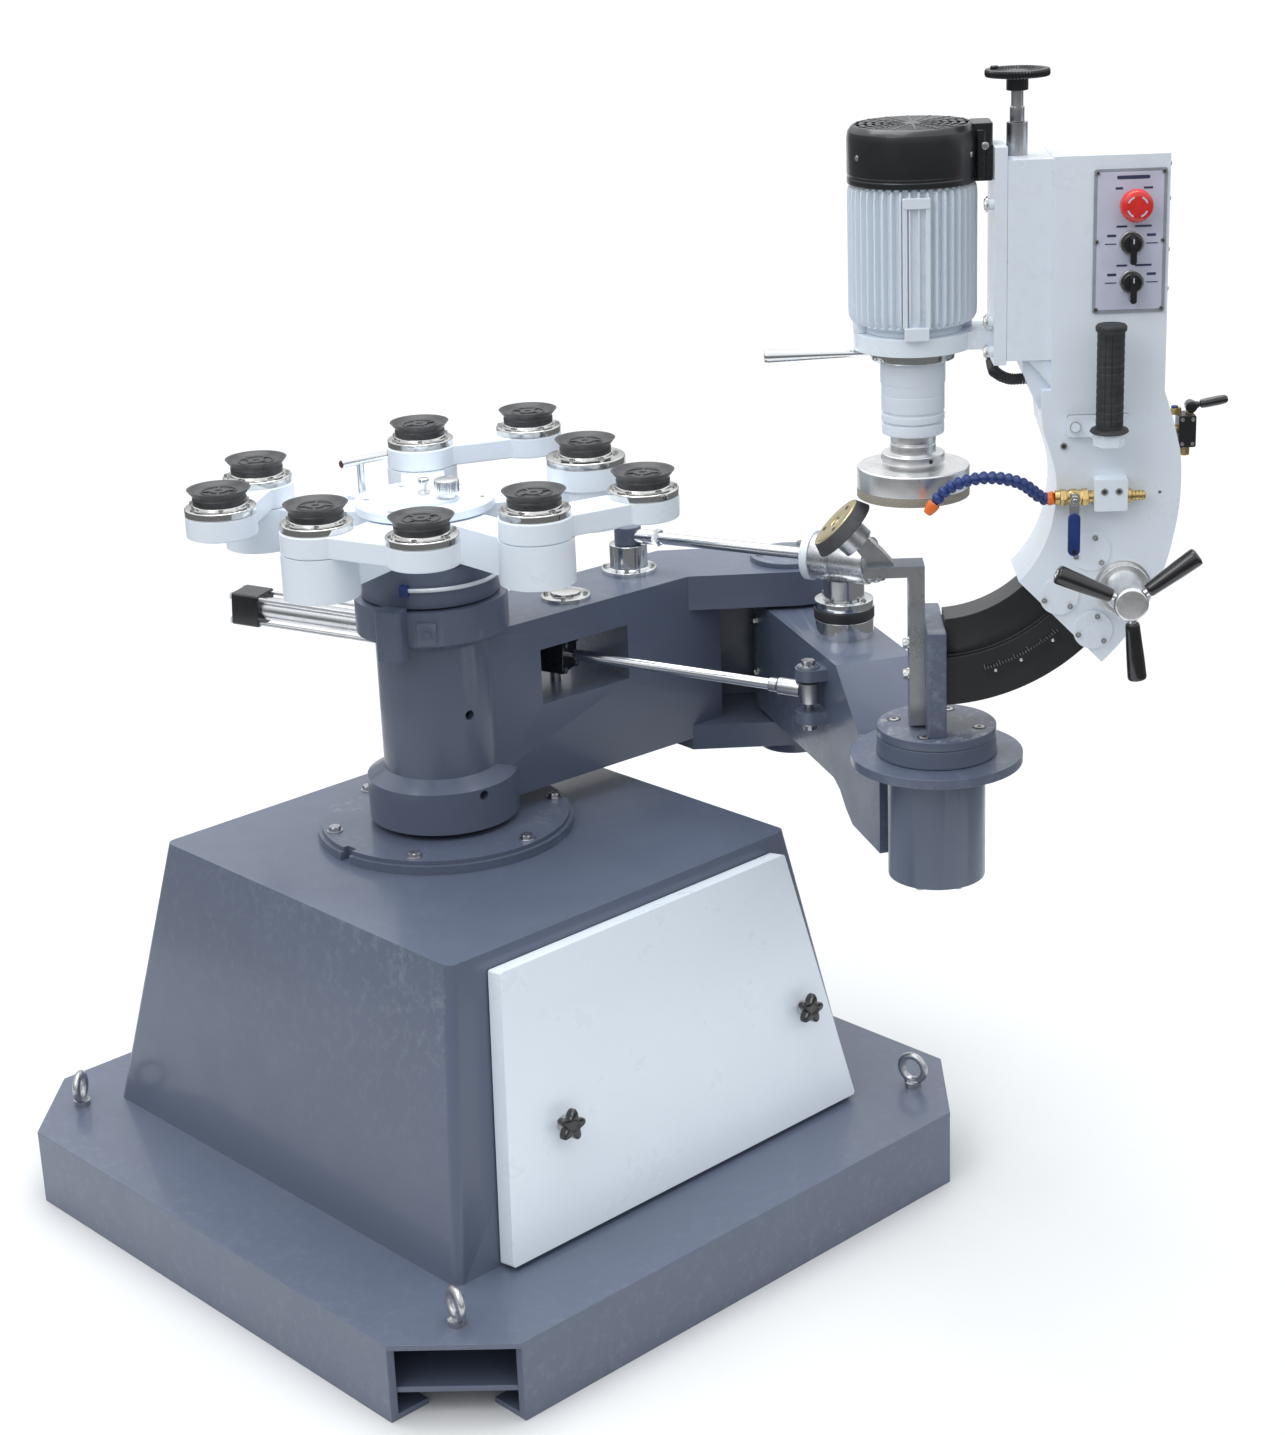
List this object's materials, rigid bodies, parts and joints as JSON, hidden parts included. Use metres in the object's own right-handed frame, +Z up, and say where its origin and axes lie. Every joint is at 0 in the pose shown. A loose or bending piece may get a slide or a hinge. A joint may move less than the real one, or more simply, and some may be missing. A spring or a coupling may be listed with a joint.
{
  "type": "swing arm glass edge grinding machine",
  "caption": "Floor-standing lapidary faceting machine: turning suction-cup table on a column, jointed swing arm, tilting grinding head on a curved rail",
  "frame": {"origin": "centre of the square floor frame, at floor level", "axes": "+Z up; -Y towards the pedestal's access door; +X towards the side the main arm reaches out to"},
  "size_m": [1.172, 1.4474, 1.58],
  "materials": {
    "slate_paint": "semi-gloss",
    "white_paint": "semi-gloss",
    "chrome": "polished",
    "steel": "machined",
    "aluminium": "turned",
    "black_cast": "satin",
    "rubber": "matt",
    "black_plastic": "gloss",
    "red_plastic": "gloss",
    "panel_film": "satin film",
    "brass": "machined",
    "blue_plastic": "satin"
  },
  "bodies": {
    "base": {"base_frame": "slate_paint", "eye_bolts": "steel", "pedestal": "slate_paint", "access_door": "white_paint", "column_post": "slate_paint", "flange_bolts": "steel", "column_bearings": "steel", "table_gear_motor": "slate_paint"},
    "door_knob_left": {"door_knob_left": "black_plastic"},
    "door_knob_right": {"door_knob_right": "black_plastic"},
    "arm": {"main_arm": "slate_paint", "elbow_pin": "slate_paint", "arm_top_fittings": "chrome"},
    "tie_rod": {"tie_rod": "chrome"},
    "forearm": {"forearm": "slate_paint", "forearm_post": "chrome", "wrist_housing": "slate_paint"},
    "tie_rod_hub": {"tie_rod_hub": "steel"},
    "air_cylinder": {"air_cylinder": "aluminium"},
    "cylinder_rod": {"cylinder_rod": "chrome"},
    "wrist": {"wrist_flange": "slate_paint", "rail_plate": "slate_paint", "arc_rail": "black_cast", "roller_bracket": "slate_paint"},
    "guide_roller": {"guide_roller": "rubber"},
    "head": {"head_casing": "white_paint", "casing_covers": "white_paint", "control_panel": "panel_film", "grip_bracket": "white_paint", "assist_grip": "rubber", "water_manifold": "brass", "coolant_hose": "blue_plastic", "rear_valve": "black_cast", "slide_base": "white_paint"},
    "estop_button": {"estop_button": "red_plastic"},
    "arm_selector": {"arm_selector": "black_plastic"},
    "motor_selector": {"motor_selector": "black_plastic"},
    "water_valve_lever": {"water_valve_lever": "blue_plastic"},
    "rear_valve_lever": {"rear_valve_lever": "black_plastic"},
    "tilt_handwheel": {"tilt_handwheel": "black_plastic"},
    "lead_screw": {"lead_screw": "steel"},
    "carriage": {"slide_carriage": "white_paint", "motor_body": "white_paint", "fan_cover": "black_cast", "spindle_nose": "white_paint"},
    "spindle_lock_lever": {"spindle_lock_lever": "chrome"},
    "spindle": {"cup_wheel": "aluminium"},
    "table": {"table_spider": "white_paint", "hub_disc": "white_paint", "fixed_cup": "rubber"},
    "tee_handle": {"tee_handle": "chrome"},
    "hub_knob": {"hub_knob": "chrome"},
    "swing_link_1": {"swing_link_1": "white_paint", "link_cups_1": "rubber"},
    "swing_link_2": {"swing_link_2": "white_paint", "link_cups_2": "rubber"},
    "swing_link_3": {"swing_link_3": "white_paint", "link_cups_3": "rubber"},
    "swing_link_4": {"swing_link_4": "white_paint", "link_cups_4": "rubber"}
  },
  "joints": [
    {"name": "door_knob_left_turn", "type": "hinge", "parent": "base", "child": "door_knob_left", "pos_m": [-0.189, -0.37339, 0.27568], "axis": [0, -0.9886, 0.1507], "range_deg": [-180, 180]},
    {"name": "door_knob_right_turn", "type": "hinge", "parent": "base", "child": "door_knob_right", "pos_m": [0.266, -0.37294, 0.27865], "axis": [0, -0.9886, 0.1507], "range_deg": [-180, 180]},
    {"name": "arm_swing", "type": "hinge", "parent": "base", "child": "arm", "pos_m": [0, 0.072, 0.7], "axis": [0, 0, 1], "range_deg": [-45, 45]},
    {"name": "elbow", "type": "hinge", "parent": "arm", "child": "forearm", "pos_m": [0.572, -0.072, 0.68], "axis": [0, 0, 1], "range_deg": [-12, 12]},
    {"name": "wrist_turn", "type": "hinge", "parent": "forearm", "child": "wrist", "pos_m": [0.32126, -0.57273, 0.7], "axis": [0, 0, 1], "range_deg": [-60, 60]},
    {"name": "head_tilt", "type": "hinge", "parent": "wrist", "child": "head", "pos_m": [0.32126, -0.57273, 1.047], "axis": [-0.7071, -0.7071, 0], "range_deg": [-33, 0]},
    {"name": "carriage_slide", "type": "slide", "parent": "head", "child": "carriage", "axis": [0, 0, 1], "range_m": [0, 0.04]},
    {"name": "lead_screw_turn", "type": "hinge", "parent": "head", "child": "lead_screw", "pos_m": [0.39126, -0.64273, 1.5], "axis": [0, 0, 1], "range_deg": [-5, 2900]},
    {"name": "tie_rod_swivel", "type": "hinge", "parent": "arm", "child": "tie_rod", "pos_m": [0.3729, 0.0688, 0.87], "axis": [0, 0, 1], "range_deg": [-15, 15]},
    {"name": "tie_hub_swivel", "type": "hinge", "parent": "forearm", "child": "tie_rod_hub", "pos_m": [0.48199, -0.2629, 0.87], "axis": [0, 0, 1], "range_deg": [-15, 15]},
    {"name": "air_cylinder_swing", "type": "hinge", "parent": "arm", "child": "air_cylinder", "pos_m": [0.21126, 0.06168, 0.73], "axis": [0, 0, 1], "range_deg": [-8, 8]},
    {"name": "cylinder_rod_slide", "type": "slide", "parent": "air_cylinder", "child": "cylinder_rod", "axis": [0.4118, -0.9094, -0.0578], "range_m": [-0.06, 0.06]},
    {"name": "guide_roller_spin", "type": "hinge", "parent": "wrist", "child": "guide_roller", "pos_m": [0.23004, -0.48151, 1.015], "axis": [0.5, -0.5, -0.7071], "continuous": true},
    {"name": "estop_press", "type": "slide", "parent": "head", "child": "estop_button", "axis": [0.7071, 0.7071, 0], "range_m": [0, 0.004], "stiffness_N_per_m": 800},
    {"name": "arm_selector_turn", "type": "hinge", "parent": "head", "child": "arm_selector", "pos_m": [0.44358, -0.77991, 1.369], "axis": [-0.7071, -0.7071, 0], "range_deg": [-45, 45]},
    {"name": "motor_selector_turn", "type": "hinge", "parent": "head", "child": "motor_selector", "pos_m": [0.44429, -0.78062, 1.3215], "axis": [-0.7071, -0.7071, 0], "range_deg": [-45, 45]},
    {"name": "water_valve_turn", "type": "hinge", "parent": "head", "child": "water_valve_lever", "pos_m": [0.38914, -0.7396, 1.055], "axis": [-0.7071, -0.7071, 0], "range_deg": [0, 90]},
    {"name": "rear_valve_tip", "type": "hinge", "parent": "head", "child": "rear_valve_lever", "pos_m": [0.54753, -0.799, 1.152], "axis": [-0.7071, -0.7071, 0], "range_deg": [-8, 25]},
    {"name": "tilt_clamp_turn", "type": "hinge", "parent": "head", "child": "tilt_handwheel", "pos_m": [0.41459, -0.80749, 0.932], "axis": [-0.7071, -0.7071, 0], "range_deg": [-180, 180]},
    {"name": "lock_lever_turn", "type": "hinge", "parent": "carriage", "child": "spindle_lock_lever", "pos_m": [0.30075, -0.55222, 1.232], "axis": [0, 0, 1], "range_deg": [-30, 30]},
    {"name": "spindle_spin", "type": "hinge", "parent": "carriage", "child": "spindle", "pos_m": [0.30075, -0.55222, 1.1], "axis": [0, 0, 1], "continuous": true},
    {"name": "table_turn", "type": "hinge", "parent": "base", "child": "table", "pos_m": [0, 0.072, 0.95], "axis": [0, 0, 1], "continuous": true},
    {"name": "tee_handle_turn", "type": "hinge", "parent": "table", "child": "tee_handle", "pos_m": [-0.014, 0.194, 1], "axis": [0, 0, 1], "range_deg": [-180, 180]},
    {"name": "hub_knob_turn", "type": "hinge", "parent": "table", "child": "hub_knob", "pos_m": [0.009, 0.033, 1.01], "axis": [0, 0, 1], "range_deg": [-180, 180]},
    {"name": "link_1_swing", "type": "hinge", "parent": "table", "child": "swing_link_1", "pos_m": [0.14837, 0.26191, 1.005], "axis": [0, 0, 1], "range_deg": [-35, 60]},
    {"name": "link_2_swing", "type": "hinge", "parent": "table", "child": "swing_link_2", "pos_m": [-0.13476, 0.2718, 1.005], "axis": [0, 0, 1], "range_deg": [-60, 35]},
    {"name": "link_3_swing", "type": "hinge", "parent": "table", "child": "swing_link_3", "pos_m": [-0.23166, 0.00557, 1.005], "axis": [0, 0, 1], "range_deg": [-60, 35]},
    {"name": "link_4_swing", "type": "hinge", "parent": "table", "child": "swing_link_4", "pos_m": [-0.00841, -0.16885, 1.005], "axis": [0, 0, 1], "range_deg": [-60, 35]}
  ],
  "couplings": [
    {"joint": "lead_screw_turn", "follows": "carriage_slide", "rad_per_m": 1256.6},
    {"joint": "tie_rod_swivel", "follows": "elbow", "ratio": 0.436},
    {"joint": "tie_hub_swivel", "follows": "elbow", "ratio": -0.564},
    {"joint": "air_cylinder_swing", "follows": "elbow", "ratio": 0.3},
    {"joint": "cylinder_rod_slide", "follows": "elbow", "m_per_rad": 0.272}
  ]
}
